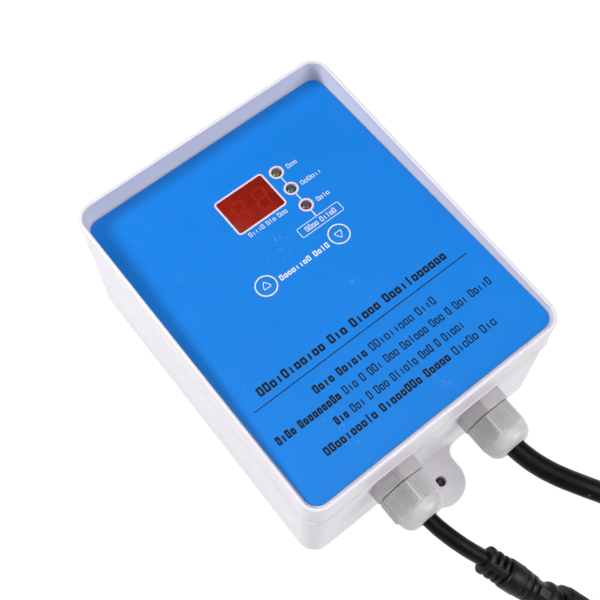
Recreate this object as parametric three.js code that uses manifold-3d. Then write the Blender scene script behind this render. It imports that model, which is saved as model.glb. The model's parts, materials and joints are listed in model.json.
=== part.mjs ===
// Control box of a salt chlorine generator for a spa, lying on its back.
// Millimetres. The back of the case is z = 0, the keypad faces +Z, the glands leave along -Y.
import * as THREE from 'three';
import { mergeVertices } from 'three/addons/utils/BufferGeometryUtils.js';
import Module from 'manifold-3d';

const wasm = await Module();
wasm.setup();

// ---------- driving dimensions ----------
const GAP = 0.3;

const CASE = {
  width: 115, length: 143.2, depth: 70, draft: 1.2, corner: 7.5, wall: 2.5,
  parting: 51.2, step: 0.35, ledge: 1.3,
};
const EAR = { radius: 10, reach: 82, thickness: 3.6, hole: 2.1, fillet: 5 };
const POST = { x: 50, y: 64, radius: 5.5, top: 48, head: 3.6, shoulder: 26, hole: 1.9 };
const RIM = { width: 1.5, wallDraft: 0.5 };
const PANEL = { height: 63.25, slope: Math.atan(8.26 / 139.2), thickness: 2.4 };
const OVERLAY = { below: 0.25, top: 0.65, gap: 0.4 };
const DISPLAY = { x: -0.85, y: 37.95, width: 21.1, height: 15.9 };
const LED = { x: 15.35, ys: [42.8, 33.6, 24.3], radius: 1.7, hole: 2.15 };
const KEY = { x: 17.05, y: 6.75, radius: 3.75, hole: 4.1, stem: 3 };
const DISPLAY_BOARD = { top: -9, thickness: 1.6, x: 26, y0: -4, y1: 50 };
const POWER_BOARD = { z: 8, thickness: 1.6, x: 46, y0: -34, y1: 56 };
const GLAND = {
  x: 21, z: 39.5, flats: 19, thread: 7.6, bore: 4.6, flange: 5.2, nutEnd: 15, dome: 20.6,
};
const CELL_LEAD = { radius: 3.15 };
const POWER_LEAD = { radius: 4 };
const COIL = { x: 45, y: -214, inner: 31.6, outer: 56.4, height: 16.8, tieAngle: -0.5 };

const COLORS = {
  case: 0xe6e3ea, overlay: 0x1c7cdf, red: 0x8a1414, grey: 0xc6c5c7, black: 0x232328,
  board: 0x1f6b3a, steel: 0xb9bcc0, ceramic: 0x2b2b2b, relay: 0x2f6fb5, block: 0x3c9a5a,
};

// ---------- geometry helpers ----------
function roundedRing(width, length, radius, segments = 6) {
  const points = [];
  const corners = [[1, 1, 0], [-1, 1, 1], [-1, -1, 2], [1, -1, 3]];
  for (const [sx, sy, quarter] of corners) {
    for (let i = 0; i <= segments; i += 1) {
      const angle = (quarter + i / segments) * Math.PI / 2;
      const x = sx * (width / 2 - radius) + radius * Math.cos(angle);
      const y = sy * (length / 2 - radius) + radius * Math.sin(angle);
      points.push(new THREE.Vector2(x, y));
    }
  }
  return points;
}

// A closed solid through stacked outlines that all have the same number of points.
function loft(rings) {
  const count = rings[0].length;
  const positions = rings.flat().flatMap((p) => [p.x, p.y, p.z]);
  const index = [];
  for (let r = 0; r + 1 < rings.length; r += 1) {
    for (let i = 0; i < count; i += 1) {
      const a = r * count + i;
      const b = r * count + (i + 1) % count;
      index.push(a, b, b + count, a, b + count, a + count);
    }
  }
  const last = (rings.length - 1) * count;
  for (let i = 1; i + 1 < count; i += 1) {
    index.push(0, i + 1, i);
    index.push(last, last + i, last + i + 1);
  }
  const geometry = new THREE.BufferGeometry();
  geometry.setAttribute('position', new THREE.Float32BufferAttribute(positions, 3));
  geometry.setIndex(index);
  return geometry;
}

function caseHalf(z) {
  const grow = CASE.draft * (1 - z / CASE.depth);
  return { x: CASE.width / 2 + grow, y: CASE.length / 2 + grow };
}

// The outline of the case at height z, moved inwards by an inset. height(x, y) may bend it.
function caseRing(z, inset = 0, height = () => z) {
  const half = caseHalf(z);
  const radius = Math.max(CASE.corner - inset, 1);
  const ring = roundedRing(2 * (half.x - inset), 2 * (half.y - inset), radius);
  return ring.map((p) => new THREE.Vector3(p.x, p.y, height(p.x, p.y)));
}

function box(x0, x1, y0, y1, z0, z1) {
  const geometry = new THREE.BoxGeometry(x1 - x0, y1 - y0, z1 - z0);
  return geometry.translate((x0 + x1) / 2, (y0 + y1) / 2, (z0 + z1) / 2);
}

function rod(radius, z0, z1, x = 0, y = 0, segments = 16) {
  const geometry = new THREE.CylinderGeometry(radius, radius, z1 - z0, segments);
  return geometry.rotateX(Math.PI / 2).translate(x, y, (z0 + z1) / 2);
}

// A body of revolution about Z from [radius, z] pairs.
function turned(profile, segments = 24) {
  const points = profile.map(([r, z]) => new THREE.Vector2(r, z));
  return new THREE.LatheGeometry(points, segments).rotateX(Math.PI / 2);
}

function tube(inner, outer, z0, z1, segments = 24) {
  const profile = [[inner, z0], [outer, z0], [outer, z1], [inner, z1], [inner, z0]];
  return turned(profile, segments);
}

function roundedBox(width, length, z0, z1, radius = 1.5, edge = 0.6) {
  const stops = [[z0, edge], [z0 + edge, 0], [z1 - edge, 0], [z1, edge]];
  return loft(stops.map(([z, inset]) => {
    const ring = roundedRing(width - 2 * inset, length - 2 * inset, radius, 3);
    return ring.map((p) => new THREE.Vector3(p.x, p.y, z));
  }));
}

function hexPrism(flats, z0, z1, turn = 0, edge = 0.5) {
  const across = flats / Math.sqrt(3);
  const stops = [[z0, edge], [z0 + edge, 0], [z1 - edge, 0], [z1, edge]];
  return loft(stops.map(([z, inset]) => {
    const ring = [];
    for (let corner = 0; corner < 6; corner += 1) {
      for (const offset of [-0.1, 0, 0.1]) {
        const angle = turn + corner * Math.PI / 3 + offset;
        const reach = across * (1 - 0.5 * Math.abs(offset)) - inset;
        ring.push(new THREE.Vector3(reach * Math.cos(angle), reach * Math.sin(angle), z));
      }
    }
    return ring;
  }));
}

function sweep(points, radius, sides = 10, steps = 60) {
  const circle = new THREE.Shape().absarc(0, 0, radius, 0, 2 * Math.PI, false);
  const path = new THREE.CatmullRomCurve3(points.map((p) => new THREE.Vector3(...p)));
  return new THREE.ExtrudeGeometry(circle, {
    extrudePath: path, steps, curveSegments: sides / 2, bevelEnabled: false,
  });
}

function signedVolume(geometry) {
  const p = geometry.getAttribute('position');
  const index = geometry.index.array;
  const corner = (i) => new THREE.Vector3().fromBufferAttribute(p, index[i]);
  let volume = 0;
  for (let i = 0; i < index.length; i += 3) {
    volume += corner(i).dot(corner(i + 1).cross(corner(i + 2))) / 6;
  }
  return volume;
}

// Shared corners, no stray attributes and faces that point outwards.
function clean(source) {
  const geometry = source.clone();
  geometry.deleteAttribute('normal');
  geometry.deleteAttribute('uv');
  const merged = mergeVertices(geometry, 1e-4);
  const kept = [];
  const index = merged.index.array;
  for (let i = 0; i < index.length; i += 3) {
    const [a, b, c] = [index[i], index[i + 1], index[i + 2]];
    if (a !== b && b !== c && a !== c) kept.push(a, b, c);
  }
  merged.setIndex(kept);
  if (signedVolume(merged) < 0) merged.setIndex(kept.reverse());
  return merged;
}

function toSolid(source) {
  const geometry = clean(source);
  return new wasm.Manifold(new wasm.Mesh({
    numProp: 3,
    vertProperties: new Float32Array(geometry.getAttribute('position').array),
    triVerts: new Uint32Array(geometry.index.array),
  }));
}

function toGeometry(solid) {
  const mesh = solid.getMesh();
  const geometry = new THREE.BufferGeometry();
  geometry.setAttribute('position', new THREE.BufferAttribute(mesh.vertProperties, 3));
  geometry.setIndex(new THREE.BufferAttribute(mesh.triVerts, 1));
  return geometry;
}

function combine(base, added, removed = []) {
  let solid = toSolid(base);
  for (const piece of added) solid = solid.add(toSolid(piece));
  for (const piece of removed) solid = solid.subtract(toSolid(piece));
  return toGeometry(solid);
}

const model = new THREE.Group();

function addPart(parent, name, geometry, color, roughness = 0.5, metalness = 0) {
  const material = new THREE.MeshStandardMaterial({ color, roughness, metalness });
  const shape = clean(geometry);
  shape.computeVertexNormals();
  const mesh = new THREE.Mesh(shape, material);
  mesh.name = name;
  parent.add(mesh);
  return mesh;
}

const fourCorners = (x, y) => [[-x, -y], [x, -y], [x, y], [-x, y]];

// ---------- rear case ----------
function earPlate(side) {
  const wall = caseHalf(0).y - 1.5;
  const half = EAR.radius + EAR.fillet;
  const shape = new THREE.Shape();
  shape.moveTo(half, wall);
  shape.lineTo(half, wall + 1.6);
  shape.absarc(half, wall + 1.6 + EAR.fillet, EAR.fillet, -Math.PI / 2, -Math.PI, true);
  shape.lineTo(EAR.radius, EAR.reach);
  shape.absarc(0, EAR.reach, EAR.radius, 0, Math.PI, false);
  shape.lineTo(-EAR.radius, wall + 1.6 + EAR.fillet);
  shape.absarc(-half, wall + 1.6 + EAR.fillet, EAR.fillet, 0, -Math.PI / 2, true);
  shape.lineTo(-half, wall);
  const hole = new THREE.Path().absarc(0, EAR.reach, EAR.hole, 0, 2 * Math.PI, true);
  shape.holes.push(hole);
  const plate = new THREE.ExtrudeGeometry(shape, {
    depth: EAR.thickness, bevelEnabled: false, curveSegments: 7,
  });
  return side > 0 ? plate : plate.rotateZ(Math.PI);
}

function rearCase() {
  const top = CASE.parting;
  const shell = loft([
    caseRing(0, 1.2), caseRing(0.5, 0.35), caseRing(1.4), caseRing(top, CASE.step),
  ]);
  const cavity = loft([caseRing(CASE.wall, CASE.wall), caseRing(top + 5, CASE.wall)]);
  const ledge = loft([caseRing(top - CASE.ledge, 1.1), caseRing(top + 5, 1.1)]);
  const posts = fourCorners(POST.x, POST.y).map(([x, y]) => rod(POST.radius, 1, POST.top, x, y));
  const bosses = boardBossPlaces().map(([x, y]) => rod(3.5, 1, POWER_BOARD.z - GAP, x, y));
  const body = combine(combine(shell, [], [cavity, ledge]), [...posts, ...bosses]);
  const tools = [];
  for (const [x, y] of fourCorners(POST.x, POST.y)) {
    tools.push(rod(POST.head, -1, POST.shoulder, x, y), rod(POST.hole, 0, POST.top + 1, x, y));
  }
  for (const [x, y] of boardBossPlaces()) tools.push(rod(1.55, 3.6, POWER_BOARD.z + 1, x, y, 12));
  for (const side of [-1, 1]) {
    const hole = rod(GLAND.thread + 0.35, -8, 8, 0, 0, 24).rotateX(Math.PI / 2);
    tools.push(hole.translate(side * GLAND.x, -caseHalf(GLAND.z).y, GLAND.z));
  }
  return combine(body, [earPlate(1), earPlate(-1)], tools);
}

function boardBossPlaces() {
  const { x, y0, y1 } = POWER_BOARD;
  return [[-x + 5, y0 + 5], [x - 5, y0 + 5], [x - 5, y1 - 5], [-x + 5, y1 - 5]];
}

function coverScrew() {
  const head = turned([[0, POST.shoulder - 3], [2.4, POST.shoulder - 3], [3, POST.shoulder - 2.4],
    [3, POST.shoulder - GAP], [0, POST.shoulder - GAP]], 20);
  const slot = box(-0.4, 0.4, -2, 2, POST.shoulder - 4, POST.shoulder - 2.1);
  const cross = box(-2, 2, -0.4, 0.4, POST.shoulder - 4, POST.shoulder - 2.1);
  return combine(head, [rod(1.6, POST.shoulder - 1, 55.6)], [slot, cross]);
}

// ---------- front cover ----------
function panelZ(y) {
  return PANEL.height - Math.tan(PANEL.slope) * y;
}

// Moves a shape drawn on the sloping keypad plane (z = 0 there) into place.
function onPanel(geometry) {
  return geometry.rotateX(-PANEL.slope).translate(0, 0, PANEL.height);
}

function frontCover() {
  const low = CASE.parting + GAP;
  const shell = loft([
    caseRing(low, -0.1), caseRing(low + 0.8, -0.35),
    caseRing(CASE.depth - 0.7, 0), caseRing(CASE.depth, 0.45),
  ]);
  const recess = loft([
    caseRing(CASE.depth, RIM.width + RIM.wallDraft, (x, y) => panelZ(y)),
    caseRing(CASE.depth, RIM.width + 0.1, () => CASE.depth - 0.35),
    caseRing(CASE.depth, RIM.width - 0.25, () => CASE.depth),
    caseRing(CASE.depth, RIM.width - 0.25, () => CASE.depth + 4),
  ]);
  const hollow = loft([
    caseRing(low, CASE.wall, () => low - 3),
    caseRing(low, CASE.wall, () => low + 1),
    caseRing(low, CASE.wall + 0.3, (x, y) => panelZ(y) - PANEL.thickness),
  ]);
  const tongueOuter = loft([caseRing(49, 2.85), caseRing(low + 2, 2.3)]);
  const tongueInner = loft([caseRing(48, 4), caseRing(low + 3, 4)]);
  const tongue = combine(tongueOuter, [], [tongueInner]);
  const bosses = fourCorners(POST.x, POST.y).map(([x, y]) => (
    rod(4.2, POST.top + GAP, panelZ(y) - 1, x, y)));
  const boardBosses = displayBoardScrews().map(([x, y]) => (
    onPanel(rod(2.8, DISPLAY_BOARD.top + GAP, -1, x, y, 16))));
  const shellWithRecess = combine(shell, [], [recess, hollow]);
  const holes = fourCorners(POST.x, POST.y).map(([x, y]) => rod(POST.hole, 40, 56, x, y));
  for (const [x, y] of displayBoardScrews()) {
    holes.push(onPanel(rod(1.3, DISPLAY_BOARD.top - 1, -3.8, x, y, 12)));
  }
  for (const x of [-KEY.x, KEY.x]) holes.push(onPanel(rod(KEY.hole, -9, 3, x, KEY.y, 28)));
  for (const y of LED.ys) holes.push(onPanel(rod(LED.hole, -9, 3, LED.x, y)));
  holes.push(onPanel(displayCut(0.5, -9, 3)));
  return combine(shellWithRecess, [tongue, ...bosses, ...boardBosses], holes);
}

function displayCut(clearance, z0, z1) {
  const halfX = DISPLAY.width / 2 + clearance;
  const halfY = DISPLAY.height / 2 + clearance;
  const { x, y } = DISPLAY;
  return box(x - halfX, x + halfX, y - halfY, y + halfY, z0, z1);
}

function coverSeal() {
  const z0 = CASE.parting - CASE.ledge + GAP;
  const outer = loft([caseRing(z0, 1.4), caseRing(CASE.parting, 1.4)]);
  const inner = loft([caseRing(z0 - 1, 2.35), caseRing(CASE.parting + 1, 2.35)]);
  return combine(outer, [], [inner]);
}

// ---------- keypad, in panel coordinates ----------
function overlayFilm() {
  const half = caseHalf(CASE.depth);
  const inset = RIM.width + RIM.wallDraft + OVERLAY.gap;
  const outline = roundedRing(2 * (half.x - inset), 2 * (half.y - inset - 0.1), CASE.corner - inset);
  const film = loft([OVERLAY.below, OVERLAY.top].map((z) => (
    outline.map((p) => new THREE.Vector3(p.x, p.y, z)))));
  const holes = [displayCut(0.3, -1, 2)];
  for (const x of [-KEY.x, KEY.x]) holes.push(rod(KEY.radius + GAP, -1, 2, x, KEY.y, 32));
  for (const y of LED.ys) holes.push(rod(LED.hole, -1, 2, LED.x, y, 24));
  return combine(film, [], holes);
}

function keyCap() {
  return turned([[0, -4.2], [1.5, -4.2], [1.5, -3.9], [4.6, -3.9], [4.6, -2.9], [KEY.stem, -2.9],
    [KEY.stem, -1], [KEY.radius, -1], [KEY.radius, 0.55], [3.3, 0.68], [1.8, 0.78], [0, 0.82]], 24);
}

function tactSwitch() {
  const body = roundedBox(6, 6, -8.7, -5.7, 0.4, 0.2);
  return combine(body, [rod(1.75, -6, -5)]);
}

function ledLamp() {
  return turned([[0, -8.7], [1.9, -8.7], [1.9, -7.7], [LED.radius, -7.7], [LED.radius, -0.7],
    [1.6, -0.2], [1.3, 0.35], [0.8, 0.75], [0, 0.9]], 20);
}

function displayBoardScrews() {
  return [[-22.5, 46], [22.5, 0]];
}

function boardScrew(radius, head, length) {
  return turned([[0, 0], [radius, 0], [radius, length], [head, length], [head, length + 1.2],
    [head - 0.7, length + 1.8], [0, length + 1.8]], 16);
}

function buildKeypad() {
  const panel = new THREE.Group();
  panel.position.set(0, 0, PANEL.height);
  panel.rotation.x = -PANEL.slope;
  model.add(panel);
  addPart(panel, 'keypad_overlay', overlayFilm(), COLORS.overlay, 0.45);

  const window = roundedBox(DISPLAY.width, DISPLAY.height, -1.5, OVERLAY.top, 1, 0.15);
  const lens = addPart(panel, 'display_window', window, COLORS.red, 0.15);
  lens.position.set(DISPLAY.x, DISPLAY.y, 0);
  const digits = roundedBox(19.2, 14.4, -8.7, -1.9, 0.5, 0.2);
  const module = addPart(panel, 'display_module', digits, COLORS.ceramic, 0.4);
  module.position.set(DISPLAY.x, DISPLAY.y, 0);

  [['up', -KEY.x], ['down', KEY.x]].forEach(([name, x]) => {
    addPart(panel, `button_${name}`, keyCap(), COLORS.overlay, 0.45).position.set(x, KEY.y, 0);
    addPart(panel, `switch_${name}`, tactSwitch(), COLORS.ceramic).position.set(x, KEY.y, 0);
  });
  ['low', 'normal', 'high'].forEach((name, i) => {
    const lamp = addPart(panel, `led_${name}`, ledLamp(), 0x3a4a50, 0.15);
    lamp.position.set(LED.x, LED.ys[i], 0);
  });

  const { top, thickness, x, y0, y1 } = DISPLAY_BOARD;
  const sheet = box(-x, x, y0, y1, top - thickness, top);
  const holes = displayBoardScrews().map(([sx, sy]) => rod(1.35, -20, 0, sx, sy, 12));
  addPart(panel, 'display_board', combine(sheet, [], holes), COLORS.board, 0.6);
  displayBoardScrews().forEach(([sx, sy], i) => {
    const screw = boardScrew(1, 2.2, 6.4);
    screw.rotateX(Math.PI);
    const mesh = addPart(panel, `display_board_screw_${i + 1}`, screw, COLORS.steel, 0.35, 0.9);
    mesh.position.set(sx, sy, top - thickness - GAP + 6.4);
  });
  const chip = roundedBox(9, 9, -12.4, top - thickness - GAP, 0.3, 0.15);
  addPart(panel, 'microcontroller', chip, COLORS.ceramic, 0.5).position.set(-6, 22, 0);
}

// ---------- power electronics ----------
function heatSink() {
  const fins = [];
  for (let i = 0; i < 7; i += 1) fins.push(box(-18 + i * 6 - 0.7, -18 + i * 6 + 0.7, 0, 8, 0, 24));
  return combine(box(-19, 19, -2, 0.5, 0, 24), fins);
}

function terminalBlock(width) {
  const body = box(-width / 2, width / 2, -5.5, 5.5, 0, 12);
  const cuts = [box(-width, width, -9, -3.6, 9, 14)];
  for (const x of [-width / 4, width / 4]) {
    cuts.push(rod(2, 9, 14, x, 0.5, 12), box(x - 1.8, x + 1.8, -7, -2, 2, 6));
  }
  return combine(body, [], cuts);
}

function buildPowerBoard() {
  const board = new THREE.Group();
  board.position.set(0, 0, POWER_BOARD.z);
  model.add(board);
  const { thickness, x, y0, y1 } = POWER_BOARD;
  const holes = boardBossPlaces().map(([hx, hy]) => rod(1.6, -1, 3, hx, hy, 12));
  const sheet = combine(box(-x, x, y0, y1, 0, thickness), [], holes);
  addPart(board, 'power_board', sheet, COLORS.board, 0.6);
  boardBossPlaces().forEach(([hx, hy], i) => {
    const screw = addPart(board, `power_board_screw_${i + 1}`, boardScrew(1.25, 2.7, 5.6),
      COLORS.steel, 0.35, 0.9);
    screw.position.set(hx, hy, thickness + GAP - 5.6);
  });

  const seat = thickness + GAP;
  const place = (name, geometry, px, py, color, roughness, metalness) => {
    addPart(board, name, geometry, color, roughness, metalness).position.set(px, py, seat);
  };
  place('power_transformer', roundedBox(40, 34, 0, 28, 2, 0.8), -18, 34, COLORS.ceramic, 0.6, 0);
  place('relay_forward', roundedBox(19, 15.4, 0, 15.6, 1, 0.5), 24, 40, COLORS.relay, 0.4, 0);
  place('relay_reverse', roundedBox(19, 15.4, 0, 15.6, 1, 0.5), 24, 20, COLORS.relay, 0.4, 0);
  place('capacitor_input', turned([[0, 0], [8, 0], [8, 26], [7.2, 27], [0, 27]]), -34, 2,
    COLORS.ceramic, 0.4, 0);
  place('capacitor_output', turned([[0, 0], [6.2, 0], [6.2, 20], [5.5, 21], [0, 21]]), -17, 4,
    COLORS.ceramic, 0.4, 0);
  place('heat_sink', heatSink(), 15, -3, COLORS.steel, 0.4, 0.9);
  place('bridge_rectifier', roundedBox(20, 3.6, 0, 15, 0.6, 0.3), 15, -7.2, COLORS.ceramic, 0.5, 0);
  place('fuse_holder', roundedBox(22, 8, 0, 9, 1, 0.5), -3, -19, COLORS.ceramic, 0.4, 0);
  place('cell_terminal_block', terminalBlock(14), -21, -27, COLORS.block, 0.5, 0);
  place('power_terminal_block', terminalBlock(14), 21, -27, COLORS.block, 0.5, 0);
}

function ribbonCable() {
  const outline = new THREE.Shape();
  outline.moveTo(-6, -0.4);
  outline.lineTo(6, -0.4);
  outline.lineTo(6, 0.4);
  outline.lineTo(-6, 0.4);
  outline.closePath();
  const points = [[8, 5, 50.4], [8, 8, 47], [8, 11, 38], [8, 10, 26], [8, 12.5, 14], [8, 12.6, 9.9]];
  const path = new THREE.CatmullRomCurve3(points.map((p) => new THREE.Vector3(...p)));
  const strip = new THREE.ExtrudeGeometry(outline, {
    extrudePath: path, steps: 18, bevelEnabled: false,
  });
  return strip;
}

// ---------- cable glands; z runs out of the wall ----------
function glandBody(turn) {
  const flange = hexPrism(GLAND.flats, 0.45, GLAND.flange, turn);
  const bore = rod(GLAND.bore, -20, 20, 0, 0, 24);
  const pocket = rod(6.6, 8, 20, 0, 0, 24);
  return combine(flange, [rod(GLAND.thread, -11, 13.6, 0, 0, 24)], [bore, pocket]);
}

function glandInsert(lead) {
  const inner = lead + 0.35;
  return turned([[inner, 8.3], [6.25, 8.3], [6.25, 14], [5.7, 16.4], [inner, 16.4], [inner, 8.3]]);
}

function glandNut(lead, turn) {
  const start = GLAND.flange + GAP;
  const hex = hexPrism(GLAND.flats + 0.2, start, GLAND.nutEnd, turn, 0.6);
  const dome = turned([[0, GLAND.nutEnd - 3], [9, GLAND.nutEnd - 3], [9, GLAND.nutEnd],
    [8.75, 17.2], [7.9, 19.2], [6.6, 20.3], [5.6, GLAND.dome], [0, GLAND.dome]], 24);
  const thread = rod(GLAND.thread + 0.35, 0, GLAND.nutEnd - 1, 0, 0, 24);
  const taper = turned([[0, GLAND.nutEnd - 2], [GLAND.thread + 0.35, GLAND.nutEnd - 2],
    [6.6, 17], [0, 17]], 24);
  const mouth = rod(lead + 0.65, 10, 30, 0, 0, 24);
  return combine(hex, [dome], [thread, taper, mouth]);
}

function buildGland(name, x, lead, bodyTurn, nutTurn) {
  const gland = new THREE.Group();
  gland.position.set(x, -caseHalf(GLAND.z).y, GLAND.z);
  gland.rotation.x = Math.PI / 2;
  model.add(gland);
  addPart(gland, `gland_body_${name}`, glandBody(bodyTurn), COLORS.grey, 0.5);
  addPart(gland, `gland_insert_${name}`, glandInsert(lead), COLORS.black, 0.8);
  addPart(gland, `gland_nut_${name}`, glandNut(lead, nutTurn), COLORS.grey, 0.45);
  const washer = tube(GLAND.thread + 0.35, 9.1, -3.9, -2.9);
  addPart(gland, `gland_washer_${name}`, washer, COLORS.black, 0.8);
  const locknut = combine(hexPrism(GLAND.flats, -8.4, -4.2, Math.PI / 6), [],
    [rod(GLAND.thread + 0.35, -12, 0, 0, 0, 24)]);
  addPart(gland, `gland_locknut_${name}`, locknut, COLORS.grey, 0.5);
}

// ---------- leads ----------
const CELL_ROUTE = [
  [-21, -79, 39.5], [-21, -85, 39.5], [-21, -91.2, 39.5], [-20.9, -92.8, 39.5], [-20.7, -94.5, 39.5],
  [-20.5, -96, 39.4], [-20.1, -98, 39.25], [-19.6, -100, 39], [-19.05, -102, 38.6],
  [-18.4, -104, 38.05], [-17.65, -106, 37.35], [-16.85, -108, 36.5], [-15.95, -110, 35.6],
  [-14.95, -112, 34.5], [-14.1, -113.6, 33.55], [-13.4, -115, 32.65],
];
const POWER_ROUTE = [
  [21, -79, 39.5], [21, -85, 39.5], [21, -91.2, 39.5], [21.15, -92.8, 39.5], [21.6, -96, 39.5],
  [22.5, -100, 39.4], [23.8, -104, 39.2], [25.5, -108, 38.9], [27.6, -112, 38.4],
  [30.1, -116, 37.6], [32.8, -120, 36.4], [35.7, -124, 34.8], [38.7, -128, 32.6],
  [41.6, -131.8, 30.1], [44.5, -135.4, 27.2], [47.4, -139, 24.1], [50.3, -142.6, 20.9],
  [53.2, -146.1, 17.8], [56.1, -149.5, 14.9], [59.1, -152.9, 12.2],
];
// The far end of the mains lead, from the coil up to the tail of its plug.
const POWER_END_ROUTE = [
  [-5, -249.2, 4.3], [-9.5, -243.2, 4.4], [-13.8, -236.8, 4.9], [-17.6, -230.2, 6.1],
  [-20.8, -223.6, 7.6], [-23.1, -217, 8.6], [-24.6, -210.4, 8.8],
];

// The stretch inside the case, which ends where the route outside starts, in the gland's bore.
function buildLeadTail(name, x, lead, bottom) {
  const points = [[x, -78.6, 39.5], [x, -76, 39.5], [x, -66, 39.5], [x, -58, 39.3],
    [x, -52.5, 37.2], [x, -48.8, 32], [x, -46.4, 25.5], [x, -43.4, 19.4], [x, -39.2, bottom + 0.7],
    [x, -36, bottom], [x, -33.4, bottom]];
  addPart(model, `${name}_lead_tail`, sweep(points, lead, 8, 24), COLORS.black, 0.5);
}

function buildConnector() {
  const connector = new THREE.Group();
  const along = new THREE.Vector3(0.366, -0.814, -0.451).normalize();
  connector.position.set(-13.4, -115.1, 32.6);
  connector.quaternion.setFromUnitVectors(new THREE.Vector3(0, 0, 1), along);
  model.add(connector);
  const profile = [[0, 0.5], [4.9, 0.5], [5.3, 0.9], [5.3, 2.6], [3.7, 2.9], [3.7, 3.9],
    [5.3, 4.2], [5.3, 5.7], [3.9, 6], [3.9, 7], [5.4, 7.3], [5.4, 8.8], [4.2, 9.1], [4.2, 10],
    [5.5, 10.3], [5.9, 10.9], [5.9, 16.4], [5.5, 16.9], [5.1, 17.1], [5.6, 17.5], [5.6, 20],
    [4.9, 20.3], [5.4, 20.8], [5.4, 23.2], [4.6, 23.6], [4.6, 28.4], [6.1, 29.2], [6.4, 30],
    [6.4, 31.6], [5.9, 32.2], [5.2, 32.4], [5.2, 33], [5.6, 33.4], [5.6, 34.2], [5.2, 34.5],
    [5.2, 48.4], [0, 48.4]];
  const body = combine(turned(profile, 16), [], [rod(4.35, 36, 60, 0, 0, 16)]);
  addPart(connector, 'cell_connector', body, COLORS.black, 0.5);
  const sockets = [[-1.7, 0], [1.7, 0]].map(([x, y]) => rod(0.9, 46, 60, x, y, 10));
  const insert = combine(rod(4, 36.3, 50.6, 0, 0, 20), [], sockets);
  addPart(connector, 'connector_contacts', insert, 0x3a3a3f, 0.5);
  const ring = combine(hexPrism(16.4, 35.6, 53.2, 0, 0.8), [], [
    rod(5.6, 30, 49, 0, 0, 24), rod(6.6, 44, 60, 0, 0, 24)]);
  addPart(connector, 'connector_ring', ring, COLORS.black, 0.45);
}

function coilRing() {
  const { inner, outer, height } = COIL;
  const low = 0.3;
  const r = 3.4;
  const profile = [[inner, low + r], [inner + r * 0.3, low + r * 0.3], [inner + r, low],
    [outer - r, low], [outer - r * 0.3, low + r * 0.3], [outer, low + r], [outer, height - r],
    [outer - r * 0.3, height - r * 0.3], [outer - r, height], [inner + r, height],
    [inner + r * 0.3, height - r * 0.3], [inner, height - r], [inner, low + r]];
  return turned(profile, 40);
}

function leadTie() {
  const { inner, outer, height } = COIL;
  const outside = roundedBox(outer - inner + 2.4, 5, 0, height + 1.2, 0.8, 0.4);
  const inside = box((inner - outer) / 2 - GAP, (outer - inner) / 2 + GAP, -9, 9, -1, height + GAP);
  const arch = combine(outside, [], [inside]);
  return arch.translate((inner + outer) / 2, 0, 0.2).rotateZ(COIL.tieAngle);
}

function buildPlug() {
  const plug = new THREE.Group();
  plug.position.set(-24.7, -209.9, 8.8);
  plug.rotation.z = Math.atan2(6.6, -1.5);
  model.add(plug);
  const stops = [[0.4, 8.6, 9], [10, 9.6, 10.5], [20, 12, 14], [26, 15.4, 20.5], [40, 17, 24],
    [43, 16, 23]];
  const body = loft(stops.map(([along, height, width]) => (
    roundedRing(height, width, height * 0.36, 3).map((p) => (
      new THREE.Vector3(p.x, p.y, along))))));
  body.rotateY(Math.PI / 2);
  addPart(plug, 'power_plug', body, COLORS.black, 0.5);
  [-6.35, 6.35].forEach((offset, i) => {
    const blade = box(43.3, 60, offset - 0.75, offset + 0.75, -3.2, 3.2);
    addPart(plug, `plug_blade_${i + 1}`, blade, 0xc9b27a, 0.3, 1);
  });
}

// ---------- assembly ----------
addPart(model, 'rear_case', rearCase(), COLORS.case, 0.4);
addPart(model, 'front_cover', frontCover(), COLORS.case, 0.4);
addPart(model, 'cover_seal', coverSeal(), COLORS.black, 0.9);
fourCorners(POST.x, POST.y).forEach(([x, y], i) => {
  const screw = addPart(model, `cover_screw_${i + 1}`, coverScrew(), COLORS.steel, 0.35, 0.9);
  screw.position.set(x, y, 0);
});
buildKeypad();
buildPowerBoard();
addPart(model, 'ribbon_cable', ribbonCable(), 0x9a9da3, 0.6);
buildGland('cell', -GLAND.x, CELL_LEAD.radius, 0.38, 0.5);
buildGland('power', GLAND.x, POWER_LEAD.radius, 0.63, 0.84);
buildLeadTail('cell', -GLAND.x, CELL_LEAD.radius, 15);
buildLeadTail('power', GLAND.x, POWER_LEAD.radius, 15);
addPart(model, 'cell_lead', sweep(CELL_ROUTE, CELL_LEAD.radius, 10, 16), COLORS.black, 0.5);
buildConnector();
addPart(model, 'power_lead', sweep(POWER_ROUTE, POWER_LEAD.radius, 10, 30), COLORS.black, 0.5);
const coil = addPart(model, 'power_lead_coil', coilRing(), COLORS.black, 0.5);
coil.position.set(COIL.x, COIL.y, 0);
const tie = addPart(model, 'lead_tie', leadTie(), 0x3b3b40, 0.6);
tie.position.set(COIL.x, COIL.y, 0);
addPart(model, 'power_lead_end', sweep(POWER_END_ROUTE, POWER_LEAD.radius, 10, 20), COLORS.black, 0.5);
buildPlug();

export default model;
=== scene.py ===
"""Looks of a spa salt chlorine generator's control box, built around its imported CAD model.

Sizes are written in millimetres and turned into metres where a mesh is made. The frame is the
CAD model's: the back of the case is z = 0, the keypad faces +Z and the leads leave along -Y.
"""
import json
import math
import random

import bmesh
import bpy
from mathutils import Matrix, Vector


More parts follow.
